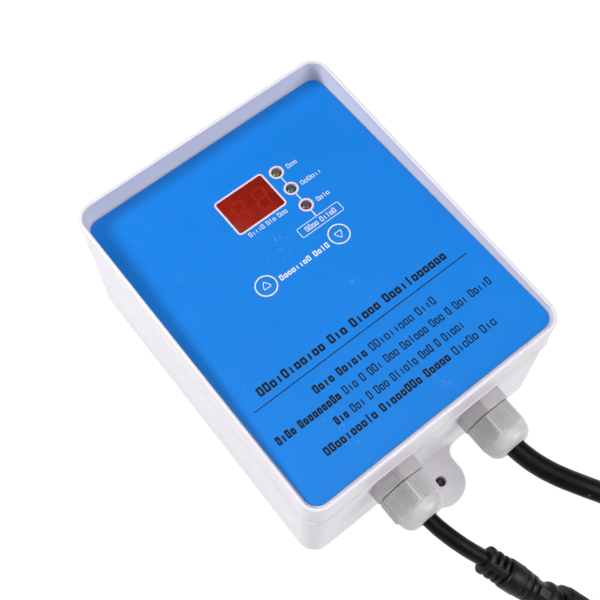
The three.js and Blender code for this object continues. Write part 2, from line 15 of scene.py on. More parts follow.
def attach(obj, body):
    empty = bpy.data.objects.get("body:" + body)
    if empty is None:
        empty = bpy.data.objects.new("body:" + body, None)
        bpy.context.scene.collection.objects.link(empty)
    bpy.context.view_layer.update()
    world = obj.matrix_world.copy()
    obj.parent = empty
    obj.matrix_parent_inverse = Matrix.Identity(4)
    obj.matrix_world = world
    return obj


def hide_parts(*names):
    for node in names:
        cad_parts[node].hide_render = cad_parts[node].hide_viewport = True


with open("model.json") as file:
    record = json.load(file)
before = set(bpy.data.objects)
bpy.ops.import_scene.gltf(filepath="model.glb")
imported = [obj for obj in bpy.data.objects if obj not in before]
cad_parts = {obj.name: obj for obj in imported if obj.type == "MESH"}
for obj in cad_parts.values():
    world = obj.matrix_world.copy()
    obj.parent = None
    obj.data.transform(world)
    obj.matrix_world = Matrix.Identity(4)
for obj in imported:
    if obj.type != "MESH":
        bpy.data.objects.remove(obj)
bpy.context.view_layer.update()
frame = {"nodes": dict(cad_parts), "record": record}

MM = 0.001
TAU = 2 * math.pi

# ---------- sizes shared with the CAD source, in millimetres ----------
CASE = {"x": 57.5, "y": 71.6, "depth": 70, "draft": 1.2, "corner": 7.5, "wall": 2.5, "parting": 51.2}
EAR = {"radius": 10, "reach": 82, "thickness": 3.6, "hole": 2.1, "fillet": 5}
POST = {"x": 50, "y": 64, "radius": 5.5, "top": 48, "head": 3.6, "shoulder": 26, "hole": 1.9}
RIM = {"width": 1.5, "wall_draft": 0.5}
PANEL = {"height": 63.25, "slope": math.atan(8.26 / 139.2), "thickness": 2.4}
FILM = {"low": 0.25, "top": 0.65, "gap": 0.4}
DISPLAY = {"x": -0.85, "y": 37.95, "width": 21.1, "height": 15.9}
LAMP = {"x": 15.35, "ys": (42.8, 33.6, 24.3), "hole": 2.15}
KEY = {"x": 17.05, "y": 6.75, "hole": 4.1}
BOSSES = [(-41, -29), (41, -29), (41, 51), (-41, 51)]
GLAND = {"x": 21, "z": 39.5, "flats": 19, "thread": 7.6}
CELL_LEAD, POWER_LEAD = 3.15, 4
COIL = {"x": 45, "y": -214, "radius": 52.3, "pitch": 8.3, "low": 4.5, "high": 12.8}
TIE = {"angle": -0.5, "middle": 44, "reach": 13.6, "height": 17.4, "width": 5}
CONNECTOR = {"start": (-13.4, -115.1, 32.6), "along": (0.366, -0.814, -0.451), "spine": (-0.15, -0.51, 0.8)}
PLUG = {"tail": (-24.7, -209.9, 8.8), "heading": math.atan2(6.6, -1.5)}


# ---------- meshes ----------
class Shape:
    """Points in millimetres and the faces between them, added piece by piece."""

    def __init__(self):
        self.points = []
        self.faces = []

    def add(self, points, faces):
        start = len(self.points)
        self.points += [Vector(point) for point in points]
        self.faces += [tuple(start + i for i in face) for face in faces]
        return self

    def loft(self, rings, loop=False):
        """A skin through rings of equal length, capped at both ends or closed into a loop."""
        count = len(rings[0])
        total = len(rings)
        faces = []
        for r in range(total if loop else total - 1):
            for i in range(count):
                here, there = r * count, (r + 1) % total * count
                k = (i + 1) % count
                faces.append((here + i, here + k, there + k, there + i))
        if not loop:
            faces.append(tuple(reversed(range(count))))
            faces.append(tuple((total - 1) * count + i for i in range(count)))
        return self.add([point for ring in rings for point in ring], faces)

    def lathe(self, profile, steps=48, loop=False):
        """A body of revolution about Z from (radius, z) pairs."""
        return self.loft([circle(radius, z, steps) for radius, z in profile], loop)

    def block(self, low, high):
        (x0, y0, z0), (x1, y1, z1) = low, high
        outline = [(x0, y0), (x1, y0), (x1, y1), (x0, y1)]
        return self.prism(outline, z0, z1)

    def prism(self, outline, z0, z1):
        return self.loft([[(x, y, z) for x, y in outline] for z in (z0, z1)])

    def moved(self, matrix):
        self.points = [matrix @ point for point in self.points]
        return self


def circle(radius, z=0.0, steps=48, x=0.0, y=0.0):
    angles = [TAU * i / steps for i in range(steps)]
    return [(x + radius * math.cos(a), y + radius * math.sin(a), z) for a in angles]


def arc(x, y, radius, start, stop, steps):
    """Points of an arc, angles in degrees."""
    angles = [math.radians(start + (stop - start) * i / steps) for i in range(steps + 1)]
    return [(x + radius * math.cos(a), y + radius * math.sin(a)) for a in angles]


def rounded_outline(half_x, half_y, radius, steps=12):
    outline = []
    for sx, sy, start in ((1, 1, 0), (-1, 1, 90), (-1, -1, 180), (1, -1, 270)):
        centre = (sx * (half_x - radius), sy * (half_y - radius))
        outline += arc(*centre, radius, start, start + 90, steps)
    return outline


def band(outer, inner, z0, z1):
    """A flat ring between two outlines with the same number of points."""
    rings = ((outer, z0), (outer, z1), (inner, z1), (inner, z0))
    return Shape().loft([[(x, y, z) for x, y in outline] for outline, z in rings], loop=True)


def moved_outline(outline, x, y):
    return [(px + x, py + y) for px, py in outline]


def soft_min(first, second, width=0.08):
    """The smaller of two values, with the change from one to the other rounded off."""
    share = max(0.0, min(1.0, 0.5 + (second - first) / (4 * width)))
    return second * (1 - share) + first * share - 2 * width * share * (1 - share)


def on_panel(x=0.0, y=0.0, z=0.0):
    """The matrix from a place on the sloping keypad plane to the frame, in millimetres."""
    tilt = Matrix.Rotation(-PANEL["slope"], 4, "X")
    return Matrix.Translation((0, 0, PANEL["height"])) @ tilt @ Matrix.Translation((x, y, z))


def panel_z(y):
    return PANEL["height"] - math.tan(PANEL["slope"]) * y


def new_object(name, shape, smooth=35):
    mesh = bpy.data.meshes.new(name)
    mesh.from_pydata([point * MM for point in shape.points], [], shape.faces)
    work = bmesh.new()
    work.from_mesh(mesh)
    bmesh.ops.remove_doubles(work, verts=work.verts, dist=1e-7)
    bmesh.ops.recalc_face_normals(work, faces=work.faces)
    work.to_mesh(mesh)
    work.free()
    shade(mesh, smooth)
    obj = bpy.data.objects.new(name, mesh)
    bpy.context.scene.collection.objects.link(obj)
    return obj


def shade(mesh, smooth=35):
    mesh.shade_smooth()
    mesh.set_sharp_from_angle(angle=math.radians(smooth))


def apply_modifiers(obj, smooth=35):
    view = bpy.context.evaluated_depsgraph_get()
    mesh = bpy.data.meshes.new_from_object(obj.evaluated_get(view))
    obj.modifiers.clear()
    obj.data = mesh
    shade(mesh, smooth)


def bevel(obj, width, segments=3, angle=40, smooth=35):
    modifier = obj.modifiers.new("bevel", "BEVEL")
    modifier.width = width * MM
    modifier.segments = segments
    modifier.limit_method = "ANGLE"
    modifier.angle_limit = math.radians(angle)
    modifier.use_clamp_overlap = True
    apply_modifiers(obj, smooth)
    return obj


def combine(obj, tool, operation, smooth=35):
    """Joins a tool object to a piece or cuts it away, and removes the tool."""
    modifier = obj.modifiers.new("combine", "BOOLEAN")
    modifier.operation = operation
    modifier.solver = "EXACT"
    modifier.use_self = True
    modifier.object = tool
    bpy.context.view_layer.update()
    apply_modifiers(obj, smooth)
    bpy.data.objects.remove(tool)
    return obj


def join(piece, shape):
    combine(piece, new_object("tool", shape), "UNION")


def cut(piece, shape, smooth=35):
    combine(piece, new_object("tool", shape), "DIFFERENCE", smooth)


def finish_piece(obj, material, body="root", stands_for=()):
    """Gives a piece its material and the body it moves with, and hides the CAD nodes it stands for."""
    obj.data.materials.clear()
    obj.data.materials.append(material)
    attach(obj, body)
    if stands_for:
        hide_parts(*stands_for)
    return obj


# ---------- materials ----------
def rgb(red, green, blue):
    """An sRGB colour of 0 to 255 as linear values."""
    def linear(value):
        value /= 255
        return value / 12.92 if value <= 0.04045 else ((value + 0.055) / 1.055) ** 2.4
    return (linear(red), linear(green), linear(blue), 1.0)


def scaled(color, factor):
    return tuple(min(1.0, channel * factor) for channel in color[:3]) + (1.0,)


class Graph:
    """A new material with its shader, and short ways to add the nodes that vary it."""

    def __init__(self, name, color, roughness, metallic=0.0, **shader):
        self.material = bpy.data.materials.new(name)
        self.material.use_nodes = True
        self.nodes = self.material.node_tree.nodes
        self.links = self.material.node_tree.links
        self.shader = self.nodes["Principled BSDF"]
        self.shader.inputs["Base Color"].default_value = color
        self.shader.inputs["Roughness"].default_value = roughness
        self.shader.inputs["Metallic"].default_value = metallic
        for socket, value in shader.items():
            self.shader.inputs[socket.replace("_", " ")].default_value = value
        self.place = self.add("ShaderNodeTexCoord").outputs["Object"]
        self.color = None
        self.height = None

    def add(self, kind, inputs=None, **settings):
        node = self.nodes.new(kind)
        for key, value in settings.items():
            setattr(node, key, value)
        for key, value in (inputs or {}).items():
            if isinstance(value, bpy.types.NodeSocket):
                self.links.new(value, node.inputs[key])
            else:
                node.inputs[key].default_value = value
        return node

    def noise(self, size, detail=3.0, stretch=(1, 1, 1), offset=0.0):
        """Noise with features of about size millimetres."""
        shift = (offset, offset * 0.7, offset * 0.3)
        mapping = self.add("ShaderNodeMapping", {
            "Vector": self.place, "Scale": stretch, "Location": shift})
        return self.add("ShaderNodeTexNoise", {
            "Vector": mapping.outputs[0], "Scale": 1 / (size * MM), "Detail": detail}).outputs["Fac"]

    def remap(self, value, low, high, to_low=0.0, to_high=1.0):
        return self.add("ShaderNodeMapRange", {
            "Value": value, "From Min": low, "From Max": high,
            "To Min": to_low, "To Max": to_high}).outputs[0]

    def math(self, operation, first, second):
        return self.add("ShaderNodeMath", {0: first, 1: second}, operation=operation).outputs[0]

    def tint(self, factor, color):
        """Mixes a colour over what the base colour is so far."""
        under = self.color or tuple(self.shader.inputs["Base Color"].default_value)
        mix = self.add("ShaderNodeMix", {0: factor, 6: under, 7: color}, data_type="RGBA")
        self.color = mix.outputs[2]
        return self

    def gloss(self, factor, low, high):
        """The roughness runs from low to high with the factor."""
        value = self.remap(factor, 0.3, 0.7, low, high)
        self.links.new(value, self.shader.inputs["Roughness"])
        return self

    def bump(self, height, distance, strength=1.0):
        """Adds relief of a distance in millimetres."""
        inputs = {"Height": height, "Distance": distance * MM, "Strength": strength}
        if self.height:
            inputs["Normal"] = self.height
        self.height = self.add("ShaderNodeBump", inputs).outputs[0]
        return self

    def edges(self, low=0.52, high=0.6):
        """1 on worn outer edges and 0 elsewhere."""
        point = self.add("ShaderNodeNewGeometry").outputs["Pointiness"]
        return self.remap(point, low, high)

    def done(self):
        if self.color:
            self.links.new(self.color, self.shader.inputs["Base Color"])
        if self.height:
            self.links.new(self.height, self.shader.inputs["Normal"])
        return self.material


def moulded(name, color, roughness, spread=0.08, grain=0.012, grain_size=0.35, mottle=0.04, **shader):
    """Injection moulded plastic: slight flow mottle, uneven gloss, fine grain, paler edges."""
    graph = Graph(name, color, roughness, **shader)
    flow = graph.noise(18, 4)
    graph.tint(graph.remap(flow, 0.35, 0.7, 0, 1), scaled(color, 1 - mottle))
    graph.tint(graph.math("MULTIPLY", graph.edges(), 0.25), scaled(color, 1 + 2 * mottle))
    graph.gloss(graph.noise(6, 3, offset=3), roughness - spread, roughness + spread)
    graph.bump(graph.noise(grain_size, 2, offset=5), grain)
    return graph.done()


def case_material():
    color = rgb(224, 220, 228)
    graph = Graph("case_plastic", color, 0.36)
    graph.tint(graph.remap(graph.noise(30, 4), 0.35, 0.7), scaled(color, 0.955))
    specks = graph.remap(graph.noise(0.9, 2, offset=9), 0.72, 0.78)
    graph.tint(graph.math("MULTIPLY", specks, 0.12), rgb(150, 140, 145))
    graph.gloss(graph.noise(7, 4, offset=3), 0.28, 0.44)
    graph.bump(graph.noise(0.45, 2, offset=5), 0.010)
    graph.bump(graph.noise(16, 1, offset=7), 0.02)
    return graph.done()


def film_material():
    color = rgb(9, 121, 213)
    graph = Graph("keypad_film", color, 0.42, Specular_IOR_Level=0.25)
    graph.tint(graph.remap(graph.noise(45, 2), 0.3, 0.7), scaled(color, 0.95))
    rubbed = graph.remap(graph.noise(16, 5, (1.4, 0.5, 1), 2.4), 0.60, 0.78)
    streaks = graph.remap(graph.noise(0.8, 4, (1, 0.5, 1), 4), 0.56, 0.72)
    graph.tint(graph.math("MULTIPLY", graph.math("MULTIPLY", rubbed, streaks), 0.30),
               rgb(170, 200, 235))
    specks = graph.remap(graph.noise(0.7, 1, offset=11), 0.78, 0.82)
    graph.tint(graph.math("MULTIPLY", specks, 0.35), rgb(150, 190, 235))
    graph.gloss(graph.noise(9, 4, offset=6), 0.36, 0.48)
    graph.bump(graph.noise(0.16, 2, offset=1), 0.006)
    graph.bump(graph.noise(22, 2, offset=8), 0.06)
    return graph.done()


def ink_material(name, color, roughness=0.5):
    graph = Graph(name, color, roughness, Specular_IOR_Level=0.25)
    patchy = graph.remap(graph.noise(1.2, 4), 0.3, 0.75)
    graph.tint(graph.math("MULTIPLY", patchy, 0.35), scaled(color, 0.86))
    graph.bump(graph.noise(0.12, 2), 0.004)
    graph.gloss(graph.noise(3), roughness - 0.08, roughness + 0.08)
    return graph.done()


def lens_material(name, color, roughness=0.3, level=0.25):
    graph = Graph(name, color, roughness, Specular_IOR_Level=level)
    graph.tint(graph.remap(graph.noise(5, 3), 0.35, 0.7), scaled(color, 0.8))
    specks = graph.remap(graph.noise(0.35, 2, offset=4), 0.66, 0.74)
    graph.tint(graph.math("MULTIPLY", specks, 0.35), scaled(color, 1.6))
    graph.gloss(graph.noise(4, 3, offset=3), roughness * 0.7, roughness * 1.5)
    graph.bump(graph.noise(9, 2, offset=5), 0.01)
    return graph.done()


def jacket_material():
    color = rgb(9, 9, 12)
    graph = Graph("lead_jacket", color, 0.34, Specular_IOR_Level=0.16)
    graph.tint(graph.remap(graph.noise(12, 4), 0.35, 0.7), scaled(color, 0.75))
    scuffs = graph.remap(graph.noise(1.6, 5, (1, 0.6, 1), 3), 0.66, 0.76)
    graph.tint(graph.math("MULTIPLY", scuffs, 0.35), rgb(120, 120, 126))
    graph.gloss(graph.noise(5, 4, offset=2), 0.30, 0.50)
    graph.bump(graph.noise(0.5, 3, offset=5), 0.012)
    graph.bump(graph.noise(6, 3, offset=7), 0.05)
    return graph.done()


def metal(name, color, roughness, lines=(1, 1, 12), size=0.6):
    """Bare or plated metal with drawn lines and small dull patches."""
    graph = Graph(name, color, roughness, 1.0)
    graph.tint(graph.remap(graph.noise(4, 4), 0.35, 0.7), scaled(color, 0.8))
    graph.gloss(graph.noise(2.5, 4, offset=3), roughness - 0.08, roughness + 0.12)
    graph.bump(graph.noise(size, 3, lines, 5), 0.008)
    return graph.done()


def board_material():
    color = rgb(22, 92, 48)
    graph = Graph("board_laminate", color, 0.35)
    cells = graph.add("ShaderNodeTexVoronoi", {"Vector": graph.place, "Scale": 260.0},
                      feature="DISTANCE_TO_EDGE").outputs["Distance"]
    tracks = graph.remap(cells, 0.05, 0.12, 1, 0)
    graph.tint(graph.math("MULTIPLY", tracks, 0.7), rgb(52, 140, 70))
    graph.tint(graph.remap(graph.noise(0.5, 2), 0.7, 0.74, 0, 0.5), rgb(190, 180, 120))
    graph.gloss(graph.noise(6), 0.28, 0.42)
    graph.bump(tracks, 0.03)
    return graph.done()


def make_materials():
    black = rgb(14, 14, 17)
    return {
        "case_plastic": case_material(),
        "keypad_film": film_material(),
        "display_lens": lens_material("display_lens", rgb(140, 25, 9), 0.4, 0.1),
        "display_body": moulded("display_body", rgb(30, 28, 28), 0.5),
        "lamp_low": lens_material("lamp_low", rgb(92, 88, 72), 0.15, 0.5),
        "lamp_normal": lens_material("lamp_normal", rgb(58, 82, 84), 0.15, 0.5),
        "lamp_high": lens_material("lamp_high", rgb(82, 68, 84), 0.15, 0.5),
        "gland_nylon": moulded("gland_nylon", rgb(188, 185, 187), 0.42, 0.07, 0.008, 0.4, 0.02,
                               Subsurface_Weight=0.06, Subsurface_Radius=(0.002, 0.002, 0.002)),
        "gland_cap": moulded("gland_cap", rgb(198, 196, 198), 0.24, 0.05, 0.004, 0.4, 0.012),
        "seal_rubber": moulded("seal_rubber", rgb(30, 30, 32), 0.75, 0.1, 0.03, 0.5, 0.1),
        "lead_jacket": jacket_material(),
        "connector_plastic": moulded("connector_plastic", black, 0.42, 0.1, 0.02, 0.4, 0.15,
                                     Specular_IOR_Level=0.28),
        "contact_insert": moulded("contact_insert", rgb(48, 48, 52), 0.5, 0.1, 0.02, 0.4, 0.1),
        "blade_brass": metal("blade_brass", rgb(205, 184, 130), 0.24, (1, 1, 8)),
        "tie_plastic": moulded("tie_plastic", rgb(52, 52, 56), 0.45, 0.1, 0.02, 0.3, 0.1),
        "screw_steel": metal("screw_steel", rgb(190, 190, 192), 0.3, (1, 1, 1), 0.4),
        "board_laminate": board_material(),
        "chip_resin": moulded("chip_resin", rgb(38, 38, 40), 0.55, 0.08, 0.02, 0.25, 0.1),
        "transformer_wrap": moulded("transformer_wrap", rgb(160, 138, 70), 0.45, 0.1, 0.05, 1.2, 0.15),
        "relay_case": moulded("relay_case", rgb(46, 104, 172), 0.3, 0.08, 0.01, 0.3, 0.05),
        "capacitor_sleeve": moulded("capacitor_sleeve", rgb(28, 30, 60), 0.25, 0.08, 0.01, 0.3, 0.1),
        "heat_sink_metal": metal("heat_sink_metal", rgb(200, 202, 205), 0.35, (1, 1, 0.1)),
        "terminal_plastic": moulded("terminal_plastic", rgb(60, 140, 84), 0.4, 0.08, 0.02, 0.4, 0.06),
        "ribbon_vinyl": moulded("ribbon_vinyl", rgb(155, 158, 163), 0.4, 0.08, 0.02, 0.3, 0.06),
        "white_ink": ink_material("white_ink", rgb(218, 218, 232)),
        "frame_ink": ink_material("frame_ink", rgb(224, 200, 216)),
        "black_ink": ink_material("black_ink", rgb(10, 12, 22), 0.45),
        "dim_segments": ink_material("dim_segments", rgb(152, 22, 8), 0.4),
    }


def paint_cad_nodes(materials):
    """Gives every CAD node the finish of its slot and smooth shading on its round faces."""
    slots = {part["node"]: part["material_slot"] for part in frame["record"]["subparts"]}
    for name, node in frame["nodes"].items():
        node.data.materials.clear()
        node.data.materials.append(materials[slots[name]])
        shade(node.data, 32)


# ---------- camera ----------
def make_camera():
    azimuth, elevation, roll = (math.radians(v) for v in (-42.03, 67.81, 3.49))
    target = Vector((-4.9, -13.8, 70)) * MM
    distance = 364.7 * MM
    back = Vector((math.sin(azimuth) * math.cos(elevation),
                   -math.cos(azimuth) * math.cos(elevation), math.sin(elevation)))
    level = Vector((math.cos(azimuth), math.sin(azimuth), 0))
    upright = back.cross(level)
    right = math.cos(roll) * level + math.sin(roll) * upright
    up = math.cos(roll) * upright - math.sin(roll) * level
    data = bpy.data.cameras.new("camera")
    data.lens = 61.45
    data.sensor_width = 36
    data.shift_x = -0.0468
    data.shift_y = 0.002
    data.clip_start = 0.01
    camera = bpy.data.objects.new("camera", data)
    camera.matrix_world = Matrix((right, up, back)).transposed().to_4x4()
    camera.location = target + back * distance
    bpy.context.scene.collection.objects.link(camera)
    bpy.context.scene.camera = camera


# ---------- case and cover ----------
def case_half(z):
    grow = CASE["draft"] * (1 - z / CASE["depth"])
    return CASE["x"] + grow, CASE["y"] + grow


def case_ring(z, inset=0.0, height=None):
    """The outline of the case at height z, moved inwards; height(y) may bend it."""
    half_x, half_y = case_half(z)
    outline = rounded_outline(half_x - inset, half_y - inset, max(CASE["corner"] - inset, 1))
    return [(x, y, height(y) if height else z) for x, y in outline]


def four_corners(x, y):
    return [(-x, -y), (x, -y), (x, y), (-x, y)]


def posts(places, profile, steps=32):
    """The same turned post at each place."""
    shape = Shape()
    for x, y in places:
        shape.loft([circle(radius, z, steps, x, y) for radius, z in profile])
    return shape


def rim_rings():
    """Over the rim of the cover, from the outer wall to the wall of the recess."""
    top, outer_radius, inner_radius = CASE["depth"], 0.8, 0.45
    rings = []
    for angle in (0, 22.5, 45, 67.5, 90):
        a = math.radians(angle)
        rings.append(case_ring(top - outer_radius * (1 - math.sin(a)), outer_radius * (1 - math.cos(a))))
    for angle in (0, 30, 60, 90):
        a = math.radians(angle)
        inset = RIM["width"] - inner_radius * (1 - math.sin(a))
        rings.append(case_ring(top - inner_radius * (1 - math.cos(a)), inset))
    return rings


def cover_shape():
    """Ceiling, tongue, lip, outer wall, rim, recess wall and the sloping floor of the recess."""
    low = CASE["parting"] + 0.3
    tongue = [(53.5, 2.6), (53.5, 4), (49, 4), (49, 2.85), (low, 2.55)]
    lip = [(low, 0.15), (low + 0.12, -0.18), (low + 0.4, -0.33), (low + 0.8, -0.35), (low + 1.25, 0.1)]
    rings = [case_ring(low, 2.8, lambda y: panel_z(y) - PANEL["thickness"])]
    rings += [case_ring(z, inset) for z, inset in tongue + lip]
    rings += rim_rings()
    floor_edge = RIM["width"] + RIM["wall_draft"]
    rings.append(case_ring(CASE["depth"], floor_edge - 0.15, lambda y: panel_z(y) + 0.3))
    rings.append(case_ring(CASE["depth"], floor_edge, panel_z))
    return Shape().loft(rings)


def panel_cuts(clearance, corner, low, high):
    """The windows for the display, the keys and the lamps."""
    outline = rounded_outline(DISPLAY["width"] / 2 + clearance, DISPLAY["height"] / 2 + clearance, corner, 5)
    shape = Shape().prism(moved_outline(outline, DISPLAY["x"], DISPLAY["y"]), low, high)
    for x in (-KEY["x"], KEY["x"]):
        shape.loft([circle(KEY["hole"], z, 64, x, KEY["y"]) for z in (low, high)])
    for y in LAMP["ys"]:
        shape.loft([circle(LAMP["hole"], z, 40, LAMP["x"], y) for z in (low, high)])
    return shape.moved(on_panel())


def make_cover(materials):
    cover = new_object("cover_shell", cover_shape())
    for x, y in four_corners(POST["x"], POST["y"]):
        join(cover, posts([(x, y)], [(4.2, 48.3), (4.2, panel_z(y) - 1.2)]))
    cut(cover, posts(four_corners(POST["x"], POST["y"]), [(POST["hole"], 40), (POST["hole"], 56)]))
    cut(cover, panel_cuts(0.5, 1.6, -9, 3))
    finish_piece(cover, materials["case_plastic"], "root", ("front_cover",))


def ear_outline():
    wall = case_half(0)[1] - 1.5
    reach, radius, fillet = EAR["reach"], EAR["radius"], EAR["fillet"]
    side = radius + fillet
    base = wall + 1.6 + fillet
    outline = [(side, wall)]
    outline += arc(side, base, fillet, 270, 180, 8)
    outline += arc(0, reach, radius, 0, 180, 40)
    outline += arc(-side, base, fillet, 0, -90, 8)
    return outline + [(-side, wall)]


def make_ear(turned):
    ear = new_object("ear", Shape().prism(ear_outline(), 0, EAR["thickness"]).moved(
        Matrix.Rotation(math.pi if turned else 0, 4, "Z")))
    return bevel(ear, 0.7, 4, 50)


def case_shape():
    """Back, outer wall, top edge, ledge for the seal, inner wall and inner floor."""
    top, wall = CASE["parting"], CASE["wall"]
    rings = [case_ring(z, inset) for z, inset in (
        (0, 1.2), (0.15, 0.75), (0.5, 0.35), (0.9, 0.1), (1.4, 0), (top - 0.45, 0.34),
        (top - 0.1, 0.44), (top, 0.68), (top, 1.1), (top - 1.3, 1.1), (top - 1.3, wall), (wall, wall))]
    return Shape().loft(rings)


def ear_holes():
    shape = Shape()
    hole, rounded = EAR["hole"], EAR["hole"] + 0.3
    profile = [(rounded, -1), (rounded, 0), (hole, 0.25), (hole, 3.3), (rounded, 3.62), (rounded, 5)]
    for y in (-EAR["reach"], EAR["reach"]):
        shape.loft([circle(radius, z, 40, 0, y) for radius, z in profile])
    return shape


def gland_frame(side):
    """The matrix from a gland's own frame, whose z leaves the wall, to the shared frame."""
    wall = case_half(GLAND["z"])[1]
    place = Matrix.Translation((side * GLAND["x"], -wall, GLAND["z"]))
    return place @ Matrix.Rotation(math.pi / 2, 4, "X")


def make_case(materials):
    case = new_object("case_shell", case_shape())
    for turned in (False, True):
        combine(case, make_ear(turned), "UNION")
    corners = four_corners(POST["x"], POST["y"])
    join(case, posts(corners, [(POST["radius"], 1), (POST["radius"], POST["top"])]))
    join(case, posts(BOSSES, [(3.5, 1), (3.5, 7.7)]))
    cut(case, posts(corners, [(POST["head"], -1), (POST["head"], POST["shoulder"]),
                              (POST["hole"], POST["shoulder"]), (POST["hole"], POST["top"] + 1)]))
    cut(case, posts(BOSSES, [(1.55, 3.6), (1.55, 9)], 16))
    cut(case, ear_holes())
    for side in (-1, 1):
        hole = Shape().lathe([(GLAND["thread"] + 0.35, -8), (GLAND["thread"] + 0.35, 8)], 48)
        cut(case, hole.moved(gland_frame(side)))
    finish_piece(case, materials["case_plastic"], "root", ("rear_case",))


# ---------- keypad ----------
def make_film(materials):
    half_x, half_y = case_half(CASE["depth"])
    margin = RIM["width"] + RIM["wall_draft"] + FILM["gap"]
    rings = []
    for z, inset in ((FILM["low"], margin), (FILM["top"] - 0.06, margin), (FILM["top"], margin + 0.06)):
        outline = rounded_outline(half_x - inset, half_y - inset - 0.1, CASE["corner"] - inset)
        rings.append([(x, y, z) for x, y in outline])
    film = new_object("film", Shape().loft(rings).moved(on_panel()))
    cut(film, panel_cuts(0.3, 1.3, -1, 2), 20)
    finish_piece(film, materials["keypad_film"], "root", ("keypad_overlay",))


def print_on_film(name, shape, material):
    """Ink laid on the top of the film."""
    ink = new_object(name, shape.moved(on_panel(z=FILM["top"] - 0.01)), 20)
    return finish_piece(ink, material)


def ring_outline(radius, steps=64):
    return [(x, y) for x, y, _ in circle(radius, 0, steps)]


def add_band(shape, outer, inner, x=0.0, y=0.0, top=0.05):
    ring = band(moved_outline(outer, x, y), moved_outline(inner, x, y), 0, top)
    return shape.add(ring.points, ring.faces)


def add_bar(shape, x0, x1, y0, y1, corner=0.05, top=0.05):
    outline = rounded_outline((x1 - x0) / 2, (y1 - y0) / 2, corner, 2)
    return shape.prism(moved_outline(outline, (x0 + x1) / 2, (y0 + y1) / 2), 0, top)


def add_box_mark(shape, x, y, half_x, half_y, line):
    add_band(shape, rounded_outline(half_x, half_y, 0.3 * half_x, 2),
             rounded_outline(half_x - line, half_y - line, 0.15 * half_x, 2), x, y)


TALL_SHARE, BAR_SHARE = 0.25, 0.28
SMALL_LETTER, WORD_GAP = 0.74, 0.75


def add_words(shape, x0, x1, y, cap, words, chance):
    """Empty boxes and bars in place of a line of words, one for each letter of a word."""
    letters = sum(count for count, _ in words)
    pitch = (x1 - x0) / (letters + WORD_GAP * (len(words) - 1))
    x = x0
    for count, weight in words:
        line = cap * weight
        for letter in range(count):
            tall = letter == 0 or chance.random() < TALL_SHARE
            height = (cap if tall else cap * SMALL_LETTER) / 2
            middle, foot = x + pitch / 2, y - cap / 2
            if letter and chance.random() < BAR_SHARE:
                add_bar(shape, middle - line / 2, middle + line / 2, foot, foot + 2 * height)
            else:
                add_box_mark(shape, middle, foot + height, pitch * 0.41, height, line)
            x += pitch
        x += WORD_GAP * pitch


BOLD, REGULAR = 0.21, 0.14
BLACK_LINES = [
    # from x, to x, y, capital height, words as (letters, weight)
    (-44.8, 41.9, -24.4, 3.6, [(11, BOLD), (3, BOLD), (5, BOLD), (11, BOLD)]),
    (-29, 26.9, -35.8, 3.25, [(4, BOLD), (6, BOLD), (9, REGULAR), (4, REGULAR)]),
    (-50.4, 47.8, -42.5, 3.25, [(4, BOLD), (9, BOLD), (3, REGULAR), (1, REGULAR), (3, REGULAR),
                                (3, REGULAR), (6, REGULAR), (3, REGULAR), (1, REGULAR), (3, REGULAR),
                                (5, REGULAR)]),
    (-30.4, 28.6, -49.3, 3.25, [(3, BOLD), (3, REGULAR), (1, REGULAR), (3, REGULAR), (6, REGULAR),
                                (3, REGULAR), (1, REGULAR), (5, REGULAR)]),
    (-40, 38.3, -55.6, 3.25, [(10, BOLD), (8, BOLD), (5, BOLD), (5, REGULAR), (3, REGULAR)]),
]
WHITE_LINES = [
    (19.8, 24.6, 42.3, 1.9, [(3, REGULAR)]),
    (19.5, 29.2, 33.0, 1.9, [(6, REGULAR)]),
    (19.7, 25.7, 23.6, 1.9, [(4, REGULAR)]),
    (-9.5, 8.2, 27.3, 1.9, [(5, REGULAR), (3, REGULAR), (3, REGULAR)]),
    (8.3, 22.7, 15.9, 2.2, [(4, REGULAR), (5, REGULAR)]),
    (-11.6, 11.4, 5.9, 2.3, [(8, BOLD), (4, BOLD)]),
]


def make_black_print(materials):
    chance = random.Random(3)
    shape = Shape()
    for x0, x1, y, cap, words in BLACK_LINES:
        add_words(shape, x0, x1, y, cap, words, chance)
    add_bar(shape, -49.8, 48.4, -29.4, -29.05)
    print_on_film("black_print", shape, materials["black_ink"])


def make_white_print(materials):
    chance = random.Random(5)
    shape = Shape()
    for x0, x1, y, cap, words in WHITE_LINES:
        add_words(shape, x0, x1, y, cap, words, chance)
    for x in (-KEY["x"], KEY["x"]):
        add_band(shape, ring_outline(4.36), ring_outline(3.82), x, KEY["y"])
    stops = [y for lamp in LAMP["ys"] for y in (lamp + 2.85, lamp - 2.85)] + [18.1]
    for y0, y1 in zip(stops[1::2], stops[2::2]):
        add_bar(shape, LAMP["x"] - 0.22, LAMP["x"] + 0.22, y1, y0, 0.02)
    add_band(shape, moved_outline(rounded_outline(9.95, 2.3, 0.9, 5), 15.5, 15.9),
             moved_outline(rounded_outline(9.67, 2.02, 0.62, 5), 15.5, 15.9))
    print_on_film("white_print", shape, materials["white_ink"])


def make_frame_print(materials):
    shape = Shape()
    add_band(shape, rounded_outline(11.4, 8.75, 1.75, 8), rounded_outline(10.65, 8, 1.0, 8),
             DISPLAY["x"], DISPLAY["y"])
    for y in LAMP["ys"]:
        add_band(shape, ring_outline(2.92), ring_outline(2.1), LAMP["x"], y)
    print_on_film("pale_frames", shape, materials["frame_ink"])


